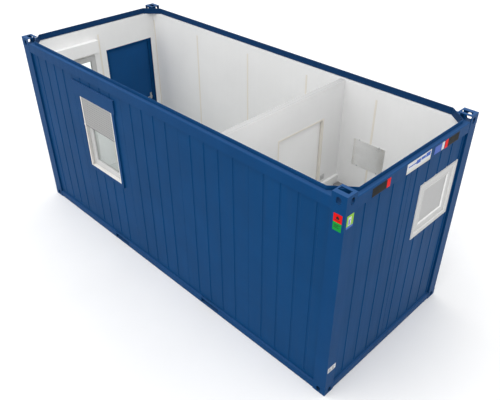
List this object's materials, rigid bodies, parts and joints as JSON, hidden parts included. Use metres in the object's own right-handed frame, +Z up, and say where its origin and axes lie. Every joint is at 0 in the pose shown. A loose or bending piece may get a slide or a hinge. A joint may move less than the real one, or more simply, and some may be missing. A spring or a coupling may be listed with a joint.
{
  "type": "portable site cabin",
  "caption": "Steel framed portable site cabin with its roof panel off: two rooms, an outer and an inner door, windows and roller shutters.",
  "frame": {"origin": "middle of the footprint at ground level, under the corner fittings", "axes": "+X along the cabin to the small room's end, +Y to the plain long wall, +Z up"},
  "size_m": [6.092, 2.435, 2.8],
  "materials": {
    "frame_steel": "satin blue paint on folded steel",
    "wall_steel": "satin blue coated sheet outside, white coated board inside",
    "white_plastic": "white window profile",
    "window_glass": "clear or frosted pane",
    "shutter_slats": "light grey slats",
    "shutter_box": "satin blue cover",
    "satin_steel": "satin steel and zinc",
    "floor_covering": "grey sheet flooring",
    "grey_plastic": "grey casing",
    "white_lining": "white coated board",
    "beige_frame": "light beige paint",
    "mirror": "silvered glass"
  },
  "bodies": {
    "cabin": {"bottom_corner_fittings": "frame_steel", "corner_posts": "frame_steel", "top_corner_fittings": "frame_steel", "front_base_rail": "frame_steel", "back_base_rail": "frame_steel", "end_base_rails": "frame_steel", "fork_sleeves": "frame_steel", "front_roof_rail": "frame_steel", "back_roof_rail": "frame_steel", "end_roof_rails": "frame_steel", "roof_corner_plates": "frame_steel", "floor_panel": "floor_covering", "floor_tray": "satin_steel", "front_wall_panels": "wall_steel", "front_wall_infill": "wall_steel", "back_wall": "wall_steel", "right_wall_panels": "wall_steel", "right_wall_infill": "wall_steel", "left_wall_panels": "wall_steel", "left_wall_infill": "wall_steel", "partition_panels": "white_lining", "partition_header": "white_lining", "large_window_frames": "white_plastic", "large_window_sashes": "white_plastic", "large_window_panes": "window_glass", "shutter_covers": "shutter_box", "shutter_casings": "white_lining", "shutter_curtain": "shutter_slats", "small_window_frame": "white_plastic", "small_window_sash": "white_plastic", "small_window_pane": "window_glass", "outer_door_jambs": "frame_steel", "outer_door_head": "frame_steel", "outer_door_threshold": "satin_steel", "inner_door_jambs": "beige_frame", "inner_door_head": "beige_frame", "wall_mirror": "mirror", "pipe_ledge": "white_lining", "wall_cabinet": "grey_plastic"},
    "outer_door": {"outer_door_leaf": "wall_steel", "outer_door_handles": "satin_steel", "outer_door_hinges": "satin_steel"},
    "inner_door": {"inner_door_leaf": "white_lining", "inner_door_handles": "satin_steel", "inner_door_hinges": "satin_steel"}
  },
  "joints": [
    {"name": "outer_door_swing", "type": "hinge", "parent": "cabin", "child": "outer_door", "pos_m": [-3.0115, 0.129, 1.2], "axis": [0, 0, 1], "range_deg": [0, 110]},
    {"name": "inner_door_swing", "type": "hinge", "parent": "cabin", "child": "inner_door", "pos_m": [1.147, 0.726, 1.2], "axis": [0, 0, -1], "range_deg": [0, 85]}
  ]
}
